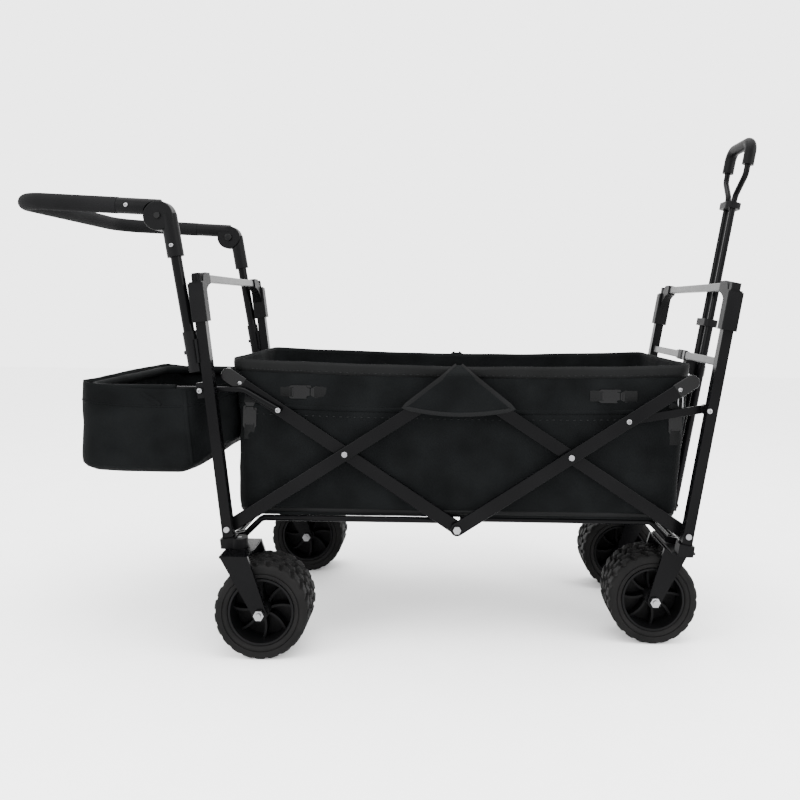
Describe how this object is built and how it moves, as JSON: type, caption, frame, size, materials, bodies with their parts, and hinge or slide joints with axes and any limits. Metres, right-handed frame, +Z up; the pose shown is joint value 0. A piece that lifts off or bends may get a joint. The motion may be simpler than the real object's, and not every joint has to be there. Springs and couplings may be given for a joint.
{
  "type": "folding camp wagon",
  "caption": "Folding scissor-frame camp wagon with fabric tub, wide wheels, a rear push handle with hanging storage bag and a telescopic front pull handle.",
  "frame": {"origin": "on the ground, in the middle of the open wagon's length and width", "axes": "+X towards the front, where the pull handle is; +Y to the wagon's left; +Z up"},
  "size_m": [1.5422, 0.6292, 1.0512],
  "materials": {
    "black_steel": "semi-gloss powder coat",
    "grey_steel": "semi-gloss powder coat",
    "zinc": "zinc plated",
    "alloy_tube": "semi-gloss powder coat",
    "dark_plastic": "moulded, fine grain",
    "gloss_black": "moulded, glossy",
    "black_rubber": "moulded tread",
    "foam": "matte foam",
    "black_fabric": "coated woven polyester"
  },
  "bodies": {
    "rear_frame": {"rear_posts": "black_steel", "rear_corner_brackets": "dark_plastic", "rear_post_knobs": "dark_plastic", "rear_arch_bar": "grey_steel", "rear_feet": "dark_plastic", "rear_bottom_tube": "black_steel", "rear_frame_bolts": "zinc", "rear_post_fittings": "dark_plastic", "tub": "black_fabric", "floor_mat": "black_fabric", "rear_bag": "black_fabric", "strap_buckles": "dark_plastic"},
    "rear_up": {"rear_up_bars": "black_steel"},
    "rear_down": {"rear_down_bars": "black_steel", "rear_top_caps": "gloss_black", "rear_down_pins": "zinc"},
    "front_down": {"front_down_bars": "black_steel", "front_down_pins": "zinc"},
    "front_up": {"front_up_bars": "black_steel", "front_top_caps": "gloss_black"},
    "front_frame": {"front_posts": "black_steel", "front_corner_brackets": "dark_plastic", "front_post_plugs": "dark_plastic", "front_arch_bar": "grey_steel", "front_feet": "dark_plastic", "front_bottom_tube": "black_steel", "front_middle_bar": "grey_steel", "front_frame_bolts": "zinc", "front_link_lugs": "black_steel", "parking_clip": "dark_plastic", "front_forks": "black_steel"},
    "front_links": {"front_links": "black_steel"},
    "bag_frame": {"bag_tube": "black_steel"},
    "rear_base": {"rear_base_tubes": "black_steel"},
    "front_base": {"front_base_tubes": "black_steel"},
    "push_handle": {"push_uprights": "black_steel", "elbow_lower_halves": "dark_plastic", "elbow_bolts": "gloss_black"},
    "push_grip": {"elbow_upper_halves": "dark_plastic", "push_grip_tube": "black_steel", "push_grip_foam": "foam"},
    "elbow_button_left": {"elbow_button_left": "gloss_black"},
    "elbow_button_right": {"elbow_button_right": "gloss_black"},
    "socket_buttons": {"socket_buttons": "gloss_black"},
    "pull_handle": {"pull_outer_tubes": "black_steel", "pull_clamp": "dark_plastic"},
    "pull_grip": {"pull_legs": "alloy_tube", "pull_grip": "dark_plastic"},
    "rear_left_caster": {"rear_left_fork": "black_steel", "rear_left_axle": "zinc"},
    "rear_left_wheel": {"rear_left_rim": "gloss_black", "rear_left_tyre": "black_rubber"},
    "front_left_wheel": {"front_left_rim": "gloss_black", "front_left_tyre": "black_rubber"},
    "rear_right_caster": {"rear_right_fork": "black_steel", "rear_right_axle": "zinc"},
    "rear_right_wheel": {"rear_right_rim": "gloss_black", "rear_right_tyre": "black_rubber"},
    "front_right_wheel": {"front_right_rim": "gloss_black", "front_right_tyre": "black_rubber"}
  },
  "joints": [
    {"name": "fold", "type": "hinge", "parent": "rear_frame", "child": "rear_up", "pos_m": [-0.32321, 0, 0.232], "axis": [0, -1, 0], "range_deg": [0, 39], "deforming": ["tub", "floor_mat", "strap_buckles", "rear_bag"]},
    {"name": "rear_cross", "type": "hinge", "parent": "rear_up", "child": "rear_down", "pos_m": [-0.10059, 0, 0.37575], "axis": [0, -1, 0], "range_deg": [-78.05, 0]},
    {"name": "top_middle", "type": "hinge", "parent": "rear_up", "child": "front_down", "pos_m": [0.12204, 0, 0.51949], "axis": [0, -1, 0], "range_deg": [-78.05, 0]},
    {"name": "bottom_middle", "type": "hinge", "parent": "rear_down", "child": "front_up", "pos_m": [0.12204, 0, 0.232], "axis": [0, -1, 0], "range_deg": [0, 78.05]},
    {"name": "front_frame_pivot", "type": "hinge", "parent": "front_down", "child": "front_frame", "pos_m": [0.56729, 0, 0.232], "axis": [0, -1, 0], "range_deg": [0, 39.05]},
    {"name": "bag_frame_pivot", "type": "hinge", "parent": "rear_frame", "child": "bag_frame", "pos_m": [-0.37948, 0, 0.49968], "axis": [0, -1, 0], "range_deg": [0, 70.83]},
    {"name": "front_link_pivot", "type": "hinge", "parent": "front_frame", "child": "front_links", "pos_m": [0.60572, 0, 0.47404], "axis": [0, -1, 0], "range_deg": [-69.69, 0]},
    {"name": "rear_base_pivot", "type": "hinge", "parent": "rear_frame", "child": "rear_base", "pos_m": [-0.29921, 0, 0.21], "axis": [0, -1, 0], "range_deg": [0, 68.05]},
    {"name": "front_base_pivot", "type": "hinge", "parent": "front_frame", "child": "front_base", "pos_m": [0.54329, 0, 0.21], "axis": [0, -1, 0], "range_deg": [-68.05, 0]},
    {"name": "rear_left_swivel", "type": "hinge", "parent": "rear_frame", "child": "rear_left_caster", "pos_m": [-0.30121, 0.246, 0.196], "axis": [0, 0, 1], "continuous": true},
    {"name": "rear_left_roll", "type": "hinge", "parent": "rear_left_caster", "child": "rear_left_wheel", "pos_m": [-0.24621, 0.246, 0.089], "axis": [0, 1, 0], "continuous": true},
    {"name": "front_left_roll", "type": "hinge", "parent": "front_frame", "child": "front_left_wheel", "pos_m": [0.51631, 0.149, 0.089], "axis": [0, 1, 0], "continuous": true},
    {"name": "rear_right_swivel", "type": "hinge", "parent": "rear_frame", "child": "rear_right_caster", "pos_m": [-0.30121, -0.246, 0.196], "axis": [0, 0, 1], "continuous": true},
    {"name": "rear_right_roll", "type": "hinge", "parent": "rear_right_caster", "child": "rear_right_wheel", "pos_m": [-0.24621, -0.246, 0.089], "axis": [0, 1, 0], "continuous": true},
    {"name": "front_right_roll", "type": "hinge", "parent": "front_frame", "child": "front_right_wheel", "pos_m": [0.51631, -0.149, 0.089], "axis": [0, 1, 0], "continuous": true},
    {"name": "push_handle_lift", "type": "slide", "parent": "rear_frame", "child": "push_handle", "axis": [-0.1923, 0, 0.9813], "range_m": [0, 0.06]},
    {"name": "push_grip_fold", "type": "hinge", "parent": "push_handle", "child": "push_grip", "pos_m": [-0.46752, 0, 0.83837], "axis": [0, -1, 0], "range_deg": [-75, 95]},
    {"name": "elbow_button_left_press", "type": "slide", "parent": "push_grip", "child": "elbow_button_left", "axis": [0, 1, 0], "range_m": [0, 0.003], "stiffness_N_per_m": 500, "springref_m": -0.001},
    {"name": "elbow_button_right_press", "type": "slide", "parent": "push_grip", "child": "elbow_button_right", "axis": [0, -1, 0], "range_m": [0, 0.003], "stiffness_N_per_m": 500, "springref_m": -0.001},
    {"name": "socket_buttons_press", "type": "slide", "parent": "rear_frame", "child": "socket_buttons", "axis": [-0.9813, 0, -0.1923], "range_m": [-0.0025, 0], "stiffness_N_per_m": 500, "springref_m": 0.001},
    {"name": "pull_handle_pivot", "type": "hinge", "parent": "front_frame", "child": "pull_handle", "pos_m": [0.60628, 0, 0.237], "axis": [0, 1, 0], "range_deg": [0, 90]},
    {"name": "pull_handle_slide", "type": "slide", "parent": "pull_handle", "child": "pull_grip", "axis": [0.1867, 0, 0.9824], "range_m": [-0.23, 0]}
  ],
  "couplings": [
    {"joint": "rear_cross", "follows": "fold", "ratio": -2},
    {"joint": "top_middle", "follows": "fold", "ratio": -2},
    {"joint": "bottom_middle", "follows": "fold", "ratio": 2},
    {"joint": "front_frame_pivot", "follows": "fold", "ratio": 1},
    {"joint": "bag_frame_pivot", "follows": "fold", "ratio": 1.8149},
    {"joint": "front_link_pivot", "follows": "fold", "ratio": -1.7855},
    {"joint": "rear_base_pivot", "follows": "fold", "ratio": 1.7436},
    {"joint": "front_base_pivot", "follows": "fold", "ratio": -1.7436}
  ]
}
